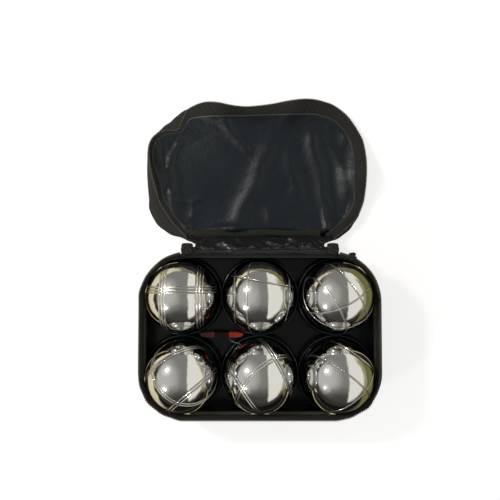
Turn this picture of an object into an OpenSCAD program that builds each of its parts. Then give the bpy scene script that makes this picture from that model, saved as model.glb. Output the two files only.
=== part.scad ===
// Set of six engraved leisure boules in a moulded tray, in a zipped soft case whose lid lies open.
// Origin at the centre of the base's underside. X runs along the rows, Y towards the lid, Z up.

/* [Boules] */
// Diameter of a boule
boule_d = 73; // [71:0.5:80]
// Wall of the welded steel shell
boule_wall = 2; // [1.5:0.1:4]
// Width of an engraved line
groove_w = 0.9; // [0.5:0.1:1.4]
// Depth of an engraved line
groove_depth = 0.5; // [0.3:0.1:0.8]
// Step from one line of a group to the next
groove_step = 2.7; // [2:0.1:4]
// Gap between boules side by side in a row
gap_x = 6.6; // [5:0.1:12]
// Gap between the two rows
gap_y = 7.6; // [6:0.1:12]

/* [Case] */
// From the outer boules to the outside of the case at each side
side_margin = 4.9; // [4:0.1:10]
// From the front row to the front of the case
front_margin = 3.7; // [3.5:0.1:10]
// From the back row to the back of the case
back_margin = 8.7; // [7:0.1:14]
// Height of the base's rim
base_h = 55; // [50:1:60]
// Thickness of the moulded fabric wall
shell_t = 1.6; // [1:0.1:2]
// Room between the open lid and the ground
lid_clear = 0.4; // [0.3:0.1:0.8]
// Thickness of the stiffening boards
board_t = 1; // [0.6:0.1:2]
// Thickness of the lid's shiny lining
lining_t = 0.7; // [0.5:0.1:1]
// Room above the boules in the closed case
headroom = 1.2; // [0.8:0.1:6]
// How far the slack lid's rim stands inside the base's rim
lid_inset = 2.5; // [1:0.1:3]
// Roundness of the front corners beyond the boule's own
front_corner = 9.5; // [6:0.5:10]
// Roundness of the back corners beyond the boule's own
back_corner = 13.5; // [8:0.5:15]
// Rounded edge along the floor
foot_r = 5; // [3:0.5:7]
// Diameter of the piping
piping_d = 2.4; // [1.6:0.1:3]

/* [Zip] */
// Width of the zip tape that shows
tape_h = 8; // [6:0.5:10]
// Thickness of the zip tape
tape_t = 0.8; // [0.6:0.1:1.2]
// Step from tooth to tooth
tooth_step = 2.4; // [2:0.1:4]
// Height of the row of teeth
tooth_h = 1.4; // [1:0.1:2]
// Gap between the two rims in the closed case
rim_gap = 0.4; // [0.3:0.1:1]

/* [Tray] */
// Thickness of the formed sheet
tray_t = 1; // [0.8:0.1:1.4]
// Gap between a boule and the wall of its cup
cup_gap = 2.3; // [1.5:0.1:3]
// Height of the cups' rounded crests above the board
crest_h = 24; // [18:1:30]
// Height of the two wells' floor above the board
well_h = 6; // [4:0.5:10]
// Height of the ledge round the edge above the board
ledge_h = 37.6; // [34:0.2:42]
// Width of the ledge
ledge_w = 3.4; // [2:0.1:5]

/* [Hinge] */
// Length of the fabric hinge along the back
spine_w = 148; // [110:1:150]
// How far the slack lining runs over the lid's floor
spine_run = 22; // [16:1:26]

/* [Measure] */
// Room between each end of the winder and the cups
winder_room = 0.6; // [0.4:0.1:3]
// Height of the winder on its edge
winder_h = 15; // [12:0.5:18]
// Thickness of the winder's ends
winder_t = 5.4; // [4:0.1:6]
// Diameter of the measuring cord
cord_d = 1.1; // [0.9:0.1:1.3]
// Turns of cord in the outer layer
cord_turns = 8; // [5:1:9]

/* [Hidden] */

// Overrun of every cut
over = 1;
// Clearance between pieces of one body that lie against each other
lay_gap = 0.1;
// Between the edge of a stiffening board and the foot of the wall
board_room = 0.5;
// Clearance between pieces that move apart
seat_gap = 0.3;

boule_r = boule_d / 2;
pitch_x = boule_d + gap_x;
pitch_y = boule_d + gap_y;
case_w = 3 * boule_d + 2 * gap_x + 2 * side_margin;
case_d = 2 * boule_d + gap_y + front_margin + back_margin;
row_shift = (front_margin - back_margin) / 2;
floor_z = shell_t + board_t;
boule_z = floor_z + tray_t + seat_gap + boule_r;

// Rim outlines as [half width, front y, back y, front corner radius, back corner radius]
base_rim = [case_w / 2, -case_d / 2, case_d / 2, boule_r + front_corner, boule_r + back_corner];
lid_stack = shell_t + board_t + lining_t + 2 * lay_gap;
closed_h = boule_z + boule_r + headroom + lid_stack;
lid_h = closed_h - base_h - rim_gap;
hinge_gap = 0.8;
// The lid's near corners are fuller and its far ones tighter than the base's
near_fuller = 4;
far_tighter = 1;
hinge_y = case_d / 2 + hinge_gap;
hinge_z = closed_h / 2;
lid_front = 2 * hinge_y - case_d / 2 + lid_inset;
lid_back = 2 * hinge_y + case_d / 2 - lid_inset;
lid_corner_near_r = boule_r + back_corner + near_fuller;
lid_corner_far_r = boule_r + front_corner - far_tighter;
lid_rim = [case_w / 2 - lid_inset, lid_front, lid_back, lid_corner_near_r, lid_corner_far_r];
// The same outline mirrored in Y, so that its path starts and ends at the hinge
lid_path = [lid_rim[0], -lid_rim[2], -lid_rim[1], lid_rim[4], lid_rim[3]];

function corner(x, y, r, from, n) =
    [for (i = [0:n]) let (a = from + 90 * i / n) [x + r * cos(a), y + r * sin(a)]];

// Closed outline of a rim, moved inwards by inset, counterclockwise from the front right corner
function outline(rim, inset, n = 14) = let (
    x0 = rim[0] - rim[3],
    x1 = rim[0] - rim[4],
    y0 = rim[1] + rim[3],
    y1 = rim[2] - rim[4]
) concat(
    corner(x0, y0, rim[3] - inset, -90, n),
    corner(x1, y1, rim[4] - inset, 0, n),
    corner(-x1, y1, rim[4] - inset, 90, n),
    corner(-x0, y0, rim[3] - inset, 180, n)
);

// Solid whose level sections are the rim's outline: levels lists [inset, z] from the floor's centre
// over the outside and the rim's edge down the inside to the inner floor
module shell_form(rim, levels) {
    rings = [for (l = levels) outline(rim, l[0])];
    m = len(rings[0]);
    last = len(levels) - 1;
    points = [for (k = [0:last]) for (p = rings[k]) [p[0], p[1], levels[k][1]]];
    sides = [for (k = [0:last - 1]) for (i = [0:m - 1]) let (j = (i + 1) % m)
        each [[k * m + i, (k + 1) * m + i, (k + 1) * m + j], [k * m + i, (k + 1) * m + j, k * m + j]]];
    under = [for (i = [0:m - 1]) i];
    inner = [for (i = [m - 1:-1:0]) last * m + i];
    polyhedron(points = points, faces = concat([under], sides, [inner]), convexity = 6);
}

// Height at which a side wall bulges most
belly_share = 0.55;

// Levels of a tray-shaped shell: floor thickness and wall t, height h, foot radius r, outward belly
function cup_levels(t, h, r, belly) = concat(
    [for (i = [0:3]) let (a = 30 * i) [r * (1 - sin(a)), r * (1 - cos(a))]],
    [[-belly, h * belly_share], [0, h], [t, h], [t - belly, h * belly_share]],
    [for (i = [3:-1:0]) let (a = 30 * i, q = r - t + belly / 2)
        [t + q * (1 - sin(a)), t + q * (1 - cos(a))]]
);

// Path of a rim from the right end of the spine round the front to its left end
function arc_near(rim, end_x) = acos(min(1, (end_x - rim[0] + rim[4]) / rim[4]));
function half_path(rim, end_x) = let (
    a = arc_near(rim, end_x) * PI / 180 * rim[4],
    b = rim[2] - rim[4] - rim[1] - rim[3],
    c = rim[3] * PI / 2,
    d = rim[0] - rim[3]
) [a, a + b, a + b + c, a + b + c + d];
function half_point(rim, end_x, s, off) = let (
    q = half_path(rim, end_x),
    a0 = arc_near(rim, end_x)
) s < q[0] ? let (a = a0 - s / rim[4] * 180 / PI)
        [rim[0] - rim[4] + (rim[4] + off) * cos(a), rim[2] - rim[4] + (rim[4] + off) * sin(a)]
    : s < q[1] ? [rim[0] + off, rim[2] - rim[4] - (s - q[0])]
    : s < q[2] ? let (a = -(s - q[1]) / rim[3] * 180 / PI)
        [rim[0] - rim[3] + (rim[3] + off) * cos(a), rim[1] + rim[3] + (rim[3] + off) * sin(a)]
    : [rim[0] - rim[3] - (s - q[2]), rim[1] - off];
function path_point(rim, end_x, s, off) = let (total = 2 * half_path(rim, end_x)[3])
    s <= total / 2 ? half_point(rim, end_x, s, off)
    : let (p = half_point(rim, end_x, total - s, off)) [-p[0], p[1]];

// Flat band along the rim path between two offsets
module band(rim, end_x, off_out, off_in, z0, z1, n = 96) {
    total = 2 * half_path(rim, end_x)[3];
    steps = [for (i = [0:n]) total * i / n];
    outer = [for (s = steps) path_point(rim, end_x, s, off_out)];
    inner = [for (i = [n:-1:0]) path_point(rim, end_x, steps[i], off_in)];
    translate([0, 0, z0])
        linear_extrude(z1 - z0) polygon(concat(outer, inner));
}

// Row of teeth: a band whose outer edge steps in and out once each tooth
module teeth(rim, end_x, off_out, off_in, z0, z1) {
    total = 2 * half_path(rim, end_x)[3];
    count = floor(total / tooth_step);
    step = total / count;
    root = off_out - tooth_cut;
    outer = [for (i = [0:count - 1]) for (q = [[0, off_out], [0.5, off_out], [0.5, root], [1, root]])
        path_point(rim, end_x, (i + q[0]) * step, q[1])];
    inner = [for (i = [count:-1:0]) path_point(rim, end_x, i * step, off_in)];
    translate([0, 0, z0])
        linear_extrude(z1 - z0) polygon(concat(outer, inner));
}

// Round bead along the rim path
module bead(rim, end_x, off, z) {
    a0 = arc_near(rim, end_x);
    near = [rim[0] - rim[4], rim[2] - rim[4]];
    far = [rim[0] - rim[3], rim[1] + rim[3]];
    for (side = [0, 1]) mirror([side, 0, 0]) {
        translate([near[0], near[1], z])
            rotate_extrude(angle = a0, $fn = 96)
                translate([rim[4] + off, 0]) circle(d = piping_d, $fn = 24);
        translate([rim[0] + off, far[1], z])
            rotate([-90, 0, 0]) cylinder(d = piping_d, h = near[1] - far[1], $fn = 24);
        translate([far[0], far[1], z])
            rotate([0, 0, -90])
                rotate_extrude(angle = 90, $fn = 96)
                    translate([rim[3] + off, 0]) circle(d = piping_d, $fn = 24);
        translate([0, rim[1] - off, z])
            rotate([0, 90, 0]) cylinder(d = piping_d, h = far[0], $fn = 24);
    }
}

// Case

tooth_cut = 0.9;
tooth_proud = 0.5;
tooth_w = 1.6;
belly = 0.8;
base_wall_h = base_h - tape_h;
hinge_end = spine_w / 2;
// Width, depth, height and corner radius of the folded zip ends
end_w = 6;
end_d = 8;
end_h = 9;
end_r = 2;
// The chain starts beside the folded ends
chain_x = hinge_end + end_w + 2 * seat_gap;

// The tape is sewn along the middle of the wall's edge, the piping just outside it
tape_out = (tape_t - shell_t) / 2;
piping_off = tape_out + lay_gap + piping_d / 2;
piping_up = lay_gap + piping_d / 2;

// Opening in the back wall for the hinge, down to the hinge line
module back_notch(z) {
    translate([-hinge_end, case_d / 2 - shell_t * 2, z])
        cube([spine_w, shell_t * 4, base_h]);
}

module base_shell() {
    color("#26241f") difference() {
        shell_form(base_rim, cup_levels(shell_t, base_wall_h, foot_r, 0));
        back_notch(hinge_z - shell_t);
    }
}

module base_board() {
    color("#5b4a35") translate([0, 0, shell_t])
        linear_extrude(board_t) polygon(outline(base_rim, foot_r + board_room));
}

module base_piping() {
    color("#2f2c27") bead(base_rim, chain_x, piping_off, base_wall_h + piping_up);
}

module base_zip_tape() {
    color("#2b2a26") band(base_rim, chain_x, tape_out, tape_out - tape_t, base_wall_h, base_h - tooth_h);
}

module base_zip_teeth() {
    color("#3a3833") teeth(base_rim, chain_x, tooth_proud, tooth_proud - tooth_w, base_h - tooth_h, base_h);
}

strip_h = 14;

// Strip of the same fabric folded over the hinge line, its fold a half round
module hinge_strip() {
    color("#1d1c19") {
        translate([-hinge_end, case_d / 2, hinge_z - strip_h])
            cube([spine_w, hinge_gap / 2, strip_h]);
        translate([-hinge_end, case_d / 2, hinge_z])
            rotate([0, 90, 0]) cylinder(r = hinge_gap / 2, h = spine_w, $fn = 24);
    }
}

// End of the chain's tape, folded into a loop behind the base beside the spine
module zip_end() {
    color("#22211d") translate([hinge_end + seat_gap, case_d / 2 + lay_gap, hinge_z - end_h / 2])
        rotate([90, 0, 90]) linear_extrude(end_w) difference() {
            translate([0, end_r]) hull() {
                square([end_r, end_h - 2 * end_r]);
                translate([end_d - end_r, 0]) circle(r = end_r, $fn = 32);
                translate([end_d - end_r, end_h - 2 * end_r]) circle(r = end_r, $fn = 32);
            }
            translate([-over, end_r]) hull() {
                square([end_r, end_h - 2 * end_r]);
                translate([end_d - end_r + over, 0]) circle(r = end_r - tape_t, $fn = 32);
                translate([end_d - end_r + over, end_h - 2 * end_r]) circle(r = end_r - tape_t, $fn = 32);
            }
        }
}
module zip_end_right() {
    zip_end();
}
module zip_end_left() {
    mirror([1, 0, 0]) zip_end();
}

// Slider at the chain's right end: two plates that straddle the teeth, a bridge over them
slider_l = 8;
slider_plate = 0.8;
slider_h = 5;
// How far the chain bends away along the slider's length
slider_sag = slider_l * slider_l / 8 / base_rim[4];
// Clearance of the slider on both sides of the chain
slider_gap = 0.33;
slider_slot = tooth_proud - tape_out + tape_t + slider_sag + 2 * slider_gap;
slider_off = tooth_proud + slider_gap - slider_slot / 2;
// How far round the corner the slider is parked
park_turn = 14;
slider_cx = case_w / 2 - base_rim[4];
slider_cy = case_d / 2 - base_rim[4];
slider_turn = 90 - arc_near(base_rim, chain_x) + park_turn;
pull_l = 15;
pull_w = 5;
pull_t = 1;
lug_r = 1.4;

module at_slider() {
    translate([slider_cx, slider_cy, 0]) rotate([0, 0, -slider_turn])
        translate([0, base_rim[4] + slider_off, base_h]) children();
}

module zip_slider() {
    color("#3b3b3a") at_slider() {
        difference() {
            translate([-slider_l / 2, -slider_slot / 2 - slider_plate, -slider_h])
                cube([slider_l, slider_slot + 2 * slider_plate, slider_h + slider_gap + slider_plate]);
            translate([-slider_l / 2 - over, -slider_slot / 2, -slider_h - over])
                cube([slider_l + 2 * over, slider_slot, slider_h + slider_gap + over]);
        }
        difference() {
            translate([-lug_r, slider_slot / 2 + slider_plate, -lug_r * 2])
                cube([2 * lug_r, 2 * lug_r, 2 * lug_r + slider_gap + slider_plate]);
            translate([-lug_r - over, slider_slot / 2 + slider_plate + lug_r, -lug_r / 2])
                rotate([0, 90, 0]) cylinder(r = lug_r / 2, h = 2 * lug_r + 2 * over, $fn = 24);
        }
    }
}

module zip_pull() {
    eye = lug_r * 2 + seat_gap * 2;
    color("#2c2c2b") at_slider() {
        translate([0, slider_slot / 2 + slider_plate + lug_r, -lug_r / 2]) {
            rotate([0, 90, 0])
                translate([0, 0, -pull_w / 2]) cylinder(r = lug_r / 2 - lay_gap, h = pull_w, $fn = 24);
            difference() {
                translate([-pull_w / 2, 0, -pull_l]) rotate([90, 0, 0]) translate([0, 0, -pull_t / 2])
                    linear_extrude(pull_t) square([pull_w, pull_l]);
                translate([-eye / 2, -pull_t, -lug_r * 3]) cube([eye, 2 * pull_t, lug_r * 3 + over]);
            }
        }
    }
}

// Lid, lying open behind the base

module near_notch(z) {
    translate([-hinge_end, lid_front - foot_r, z])
        cube([spine_w, 2 * foot_r, lid_h + over]);
}
lid_wall_h = lid_h - tape_h;
// How far the lining ends below the wall's edge, and how it rounds into the floor
lining_edge = 1;
lining_in = 1;
lining_up = 2;
spine_foot_z = shell_t + board_t + lining_t + 2 * lay_gap;

// The open lid hangs on the hinge cloth, its panel just clear of the ground
module lid_shell() {
    color("#26241f") difference() {
        shell_form(lid_rim, cup_levels(shell_t, lid_wall_h, foot_r, belly));
        near_notch(shell_t + lay_gap);
        translate([-case_w, 0, -over]) cube([2 * case_w, 2 * case_d, lid_clear + over]);
    }
}

module lid_board() {
    color("#5b4a35") translate([0, 0, shell_t])
        linear_extrude(board_t) polygon(outline(lid_rim, foot_r + board_room));
}

module lid_lining() {
    rise = lid_wall_h - shell_t;
    deep = shell_t + lay_gap + belly;
    z0 = shell_t + board_t + lay_gap;
    top = z0 + rise - lining_edge;
    floor_in = foot_r + lining_in;
    edge_in = shell_t + lay_gap;
    color("#2b3033") difference() {
        shell_form(lid_rim, [[floor_in, z0], [deep + lining_in, z0 + lining_up], [deep, z0 + rise / 2],
            [edge_in, top], [edge_in + lining_t, top], [deep + lining_t, z0 + rise / 2],
            [deep + lining_in + lining_t, z0 + lining_up + lining_t], [floor_in + lining_t, z0 + lining_t]]);
        near_notch(spine_foot_z);
    }
}

module lid_piping() {
    color("#2f2c27") mirror([0, 1, 0]) bead(lid_path, chain_x, piping_off, lid_wall_h + piping_up);
}

module lid_zip_tape() {
    color("#2b2a26") mirror([0, 1, 0])
        band(lid_path, chain_x, tape_out, tape_out - tape_t, lid_wall_h, lid_h - tooth_h);
}

module lid_zip_teeth() {
    color("#3a3833") mirror([0, 1, 0])
        teeth(lid_path, chain_x, tooth_proud, tooth_proud - tooth_w, lid_h - tooth_h, lid_h);
}

// Wall of the lid along the hinge, against the base's back, its foot laid on the lid's floor
wall_foot = 4.5;
wall_top = hinge_z - seat_gap - hinge_gap / 2;
module spine_wall() {
    y0 = hinge_y + hinge_gap / 2;
    z0 = shell_t + 2 * lay_gap;
    color("#1d1c19") translate([-hinge_end + lay_gap, 0, 0]) {
        translate([0, y0, z0]) cube([spine_w - 2 * lay_gap, shell_t, wall_top - z0]);
        translate([0, y0, z0])
            cube([spine_w - 2 * lay_gap, lid_front + wall_foot - y0, shell_t - 2 * lay_gap]);
    }
}

// Slack lining that slopes from the hinge down to the lid's floor
module spine_lining() {
    top = [hinge_y + hinge_gap / 2 + shell_t + lay_gap, hinge_z - seat_gap];
    foot = [hinge_y + spine_run, spine_foot_z];
    color("#17181a") translate([-hinge_end + lay_gap, 0, 0])
        rotate([90, 0, 90]) linear_extrude(spine_w - 2 * lay_gap)
            polygon([top, [top[0], top[1] - lining_t * 2], [foot[0] - lining_t * 2, foot[1]], foot]);
}

// Boules

// Engraved lines as [lines in a group, [heading of the plane's normal, its rise, its distance share]]
pattern_shares = [
    ["back_left", 3, [[180, 0, 0.42], [0, 0, 0.55], [90, 0, 0.22]]],
    ["back_middle", 1, [[80, 0, 0.44], [180, -10, 0.2], [-5, -10, 0.65], [180, 0, 0.68]]],
    ["back_right", 1, [[-148, 13, 0.44], [34, -12, 0.19], [116, 20, 0.15], [92, 65, 0.2]]],
    ["front_left", 2, [[-50, 5, 0.48], [54, 49, 0.37], [123, -28, 0.27]]],
    ["front_middle", 2, [[27, -11, 0.48], [-46, 33, 0.25], [-146, 0, 0.5]]],
    ["front_right", 1, [[-127, 16, 0.03], [53, -9, 0.66], [-49, -18, 0.28]]]
];

function boule_place(i) =
    [((i % 3) - 1) * pitch_x, row_shift + (i < 3 ? pitch_y / 2 : -pitch_y / 2), boule_z];

module groove(distance) {
    ring_r = sqrt(boule_r * boule_r - distance * distance);
    translate([0, 0, distance - groove_w / 2]) difference() {
        cylinder(r = ring_r + over, h = groove_w, $fn = 96);
        translate([0, 0, -over]) cylinder(r = ring_r - groove_depth, h = groove_w + 2 * over, $fn = 96);
    }
}

module grooves(pattern) {
    lines = pattern[1];
    for (g = pattern[2]) rotate([0, 90 - g[1], g[0]])
        for (k = [0:lines - 1]) groove(g[2] * boule_r + (k - (lines - 1) / 2) * groove_step);
}

module boule_half(i, up) {
    box = boule_r + over;
    color("#c9c8c3") translate(boule_place(i)) difference() {
        sphere(r = boule_r, $fn = 96);
        sphere(r = boule_r - boule_wall, $fn = 96);
        translate([-box, -box, up ? -2 * box : 0]) cube(2 * box);
        grooves(pattern_shares[i]);
    }
}

module boule_core(i) {
    color("#8b8478") translate(boule_place(i)) sphere(r = boule_r - boule_wall - lay_gap, $fn = 64);
}

// Tray

cup_r = boule_r + cup_gap;
tray_rim_inset = shell_t + lay_gap * 3;
crest_z = floor_z + crest_h;
well_z = floor_z + well_h;
ledge_z = floor_z + ledge_h;
cup_fillet = 4;
crest_r = 0.8;
draft = 6;

// Half angle of the dish under a boule
dish = 24;

// Hollow of a cup: a dish that seats the boule, a flat round it, a fillet and the wall
module cup_hollow() {
    seat_r = boule_r + seat_gap;
    dish_r = seat_r * sin(dish);
    dish_z = boule_z - seat_r * cos(dish);
    rotate_extrude($fn = 120) polygon(concat(
        [for (i = [0:4]) let (a = dish * i / 4) [seat_r * sin(a), boule_z - seat_r * cos(a)]],
        [for (i = [0:3]) let (a = 30 * i)
            [cup_r - cup_fillet + cup_fillet * sin(a), dish_z + cup_fillet * (1 - cos(a))]],
        [[cup_r, crest_z - crest_r]],
        [for (i = [1:3]) let (a = 30 * i)
            [cup_r + crest_r * (1 - cos(a)), crest_z - crest_r + crest_r * sin(a)]],
        [[cup_r + crest_r, crest_z + over], [cup_r, crest_z + over]],
        [[cup_r, ledge_z + over], [0, ledge_z + over]]
    ));
}

// Outside of a cup, drafted towards the well floor
module cup_body() {
    crest_out = cup_r + 2 * crest_r;
    foot_out = cup_r + tray_t - cup_fillet;
    rotate_extrude($fn = 120) polygon(concat(
        [[0, floor_z], [foot_out, floor_z], [cup_r + tray_t, floor_z + cup_fillet]],
        [[cup_foot_r, well_z - tray_t], [cup_foot_r, well_z]],
        [for (i = [0:3]) let (a = 30 * i)
            [crest_out - crest_r + crest_r * cos(a), crest_z - crest_r + crest_r * sin(a)]],
        [[0, crest_z]]
    ));
}

module tray_prism(inset, z0, z1) {
    translate([0, 0, z0]) linear_extrude(z1 - z0) polygon(outline(base_rim, inset));
}

module tray() {
    ledge_in = tray_rim_inset + ledge_w;
    color("#0b0f12") intersection() {
        tray_prism(tray_rim_inset, floor_z, ledge_z);
        difference() {
            union() {
                tray_prism(tray_rim_inset, well_z - tray_t, well_z);
                for (i = [0:5]) translate([boule_place(i)[0], boule_place(i)[1], 0]) cup_body();
                difference() {
                    tray_prism(0, well_z - tray_t, ledge_z);
                    tray_prism(ledge_in, well_z - tray_t - over, ledge_z + over);
                    difference() {
                        tray_prism(-over, well_z - tray_t - over, ledge_z - tray_t);
                        tray_prism(ledge_in - tray_t, well_z - tray_t - 2 * over, ledge_z);
                        for (i = [0:5]) translate([boule_place(i)[0], boule_place(i)[1], 0])
                            cylinder(r = cup_r + tray_t, h = ledge_z, $fn = 120);
                    }
                }
            }
            for (i = [0:5]) translate([boule_place(i)[0], boule_place(i)[1], 0]) cup_hollow();
        }
    }
}

// Measuring cord on its winder, on edge in the left well

winder_x = -pitch_x / 2;
winder_y = row_shift;
winder_z = well_z + seat_gap;
blade_t = 1.8;
tip_t = 2.2;
// The winder lies along the well, between the feet of four cups
cup_foot_r = cup_r + 2 * crest_r + (crest_z - well_z) * tan(draft);
tip_side = pitch_y / 2 - tip_t / 2;
tip_far = cup_foot_r + winder_room;
winder_l = pitch_x - 2 * sqrt(max(0, tip_far * tip_far - tip_side * tip_side));
// How much lower the neck between the ends is, and the clear room between turns
neck_cut = 6.4;
neck_h = winder_h - neck_cut;
turn_gap = 0.6;
cord_step = cord_d + turn_gap;
end_l = (winder_l - cord_turns * cord_step - cord_d - 2 * lay_gap) / 2;
core_layer = 0.7;
core_slack = 0.2;
end_round = 1.2;
// Along each end, where it has thinned to how much of its thickness
thin_shares = [0.85, 0.36];

// End of the winder: a rounded plate that thins towards its tip
module winder_end() {
    intersection() {
        translate([end_l / 2, winder_t / 2, winder_h / 2]) rotate([90, 0, 0]) linear_extrude(winder_t)
            offset(r = end_round, $fn = 24)
                square([end_l - 2 * end_round, winder_h - 2 * end_round], center = true);
        linear_extrude(winder_h) polygon([[0, -winder_t / 2], [end_l / 2, -winder_t / 2],
            [end_l * thin_shares[0], -winder_t * thin_shares[1]], [end_l, -tip_t / 2], [end_l, tip_t / 2],
            [end_l * thin_shares[0], winder_t * thin_shares[1]], [end_l / 2, winder_t / 2],
            [0, winder_t / 2]]);
    }
}

module cord_winder() {
    color("#c8281c") translate([winder_x, winder_y, winder_z]) {
        for (side = [0, 1]) mirror([side, 0, 0]) translate([winder_l / 2 - end_l, 0, 0]) winder_end();
        translate([-winder_l / 2 + end_l - over, -blade_t / 2, (winder_h - neck_h) / 2])
            cube([winder_l - 2 * end_l + 2 * over, blade_t, neck_h]);
    }
}

module cord_core() {
    grow = core_layer - core_slack;
    run = winder_l - 2 * end_l - 2 * lay_gap;
    color("#1c1c1c") translate([winder_x, winder_y, winder_z + winder_h / 2]) difference() {
        translate([-run / 2, -blade_t / 2 - grow, -neck_h / 2 - grow])
            cube([run, blade_t + 2 * grow, neck_h + 2 * grow]);
        translate([-run / 2 - over, -blade_t / 2 - lay_gap, -neck_h / 2 - lay_gap])
            cube([run + 2 * over, blade_t + 2 * lay_gap, neck_h + 2 * lay_gap]);
    }
}

// Path of the outer layer: a flattened ring that climbs one step each turn, then the loose end
loop_y = blade_t / 2 + core_layer + cord_d / 2 + lay_gap;
loop_z = neck_h / 2 + core_layer + cord_d / 2 + lay_gap;
loop_rings = 24;
// How square a turn is across and up the winder: 1 is round, 0 is square
square_shares = [0.3, 0.45];
function squarish(v, p) = sign(v) * pow(abs(v), p);
function turn_point(k) = let (a = 360 * k / loop_rings)
    [-cord_turns * cord_step / 2 + cord_step * k / loop_rings,
        -loop_y * squarish(cos(a), square_shares[0]), loop_z * squarish(sin(a), square_shares[1])];
// Loose end: up the winder's front and over to the crest of the middle front cup
crest_lie = crest_z + cord_d / 2 + lay_gap - (winder_z + winder_h / 2);
tail_start = turn_point(cord_turns * loop_rings);
tail_rise = crest_lie / 4;
tail_route = [[0, -0.6, 0.8], [0.5, -1.5, 1.8], [2, -2.8, 3], [4, -4, 3.75], [6.5, -5, 4.05],
    [9, -5.7, 4.03], [11, -6.2, 4]];
tail_points = [for (q = tail_route) tail_start + [q[0], q[1], q[2] * tail_rise]];
winding_points = concat([for (k = [0:cord_turns * loop_rings]) turn_point(k)], tail_points);

// Ring of points round a path point, square to the path
function unit(v) = v / norm(v);
function tube_ring(p, t, r, n) = let (
    u = unit(cross(t, [1, 0.03, 0.02])),
    w = cross(t, u)
) [for (i = [0:n - 1]) p + r * (cos(360 * i / n) * u + sin(360 * i / n) * w)];

module tube(path, r, n) {
    last = len(path) - 1;
    rings = [for (k = [0:last]) let (
        a = path[max(0, k - 1)],
        b = path[min(last, k + 1)]
    ) tube_ring(path[k], unit(b - a), r, n)];
    sides = [for (k = [0:last - 1]) for (i = [0:n - 1]) let (j = (i + 1) % n)
        each [[k * n + i, (k + 1) * n + j, (k + 1) * n + i], [k * n + i, k * n + j, (k + 1) * n + j]]];
    ends = [[for (i = [n - 1:-1:0]) i], [for (i = [0:n - 1]) last * n + i]];
    polyhedron(points = [for (ring = rings) each ring], faces = concat(sides, ends), convexity = 10);
}

// Least gap between turns that are not neighbours on the path
gap_list = [for (k = [0:loop_rings - 1]) for (m = [-3:3])
    norm(winding_points[k + loop_rings + m] - winding_points[k]) - cord_d];
echo("least gap of the winding to itself", min(gap_list));

module cord_winding() {
    color("#2a2724") translate([winder_x, winder_y, winder_z + winder_h / 2])
        tube(winding_points, cord_d / 2, 6);
}

base_shell();
base_board();
base_piping();
base_zip_tape();
base_zip_teeth();
tray();
hinge_strip();
zip_end_left();
zip_end_right();
zip_slider();
zip_pull();
lid_shell();
lid_board();
lid_lining();
lid_piping();
lid_zip_tape();
lid_zip_teeth();
spine_wall();
spine_lining();
for (i = [0:5]) {
    boule_half(i, true);
    boule_half(i, false);
    boule_core(i);
}
cord_winder();
cord_core();
cord_winding();
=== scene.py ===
"""Six engraved steel boules in a moulded tray, in a zipped soft case that lies open on its back."""

import math

import bpy
import numpy as np
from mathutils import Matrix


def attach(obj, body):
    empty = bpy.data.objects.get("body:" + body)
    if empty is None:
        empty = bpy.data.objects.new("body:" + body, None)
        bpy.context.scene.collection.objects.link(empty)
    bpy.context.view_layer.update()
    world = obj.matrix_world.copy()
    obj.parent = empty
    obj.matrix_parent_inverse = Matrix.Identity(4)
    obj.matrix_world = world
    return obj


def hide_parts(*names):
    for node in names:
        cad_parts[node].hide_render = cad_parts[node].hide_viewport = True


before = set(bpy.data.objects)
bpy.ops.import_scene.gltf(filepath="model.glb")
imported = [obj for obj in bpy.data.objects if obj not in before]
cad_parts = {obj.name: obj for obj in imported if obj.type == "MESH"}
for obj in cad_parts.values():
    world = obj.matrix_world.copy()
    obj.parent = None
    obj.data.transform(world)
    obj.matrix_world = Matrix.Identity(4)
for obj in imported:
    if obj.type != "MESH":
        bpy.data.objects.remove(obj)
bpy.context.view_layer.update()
mm = 0.001


def linked(name, data):
    """A new object, put into the scene."""
    made = bpy.data.objects.new(name, data)
    bpy.context.scene.collection.objects.link(made)
    return made


# Camera
# The picture was taken from nearly straight above, 0.6 m over the floor. Lens, tilt and place
# were fitted to the middles of the six boules.
camera = linked("camera", bpy.data.cameras.new("camera"))
camera.data.sensor_width = 36.0
camera.data.lens = 39.37
camera.location = (-0.0101, 0.0627, 0.5995)
camera.rotation_euler = (math.radians(2.353), 0.0, 0.0)
bpy.context.scene.camera = camera


# Materials: each is worked out from the place or the UV of a point, both in metres.
def linear(code):
    """Linear colour of an sRGB hex code: each share c becomes c/12.92 or ((c+0.055)/1.055)^2.4."""
    c = np.array([int(code[i : i + 2], 16) / 255 for i in (1, 3, 5)])
    return (*np.where(c <= 0.04045, c / 12.92, ((c + 0.055) / 1.055) ** 2.4), 1.0)


def tint(base, share):
    """A colour made darker or lighter by a share."""
    return tuple(min(1.0, c * share) for c in base[:3]) + (1.0,)


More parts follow.
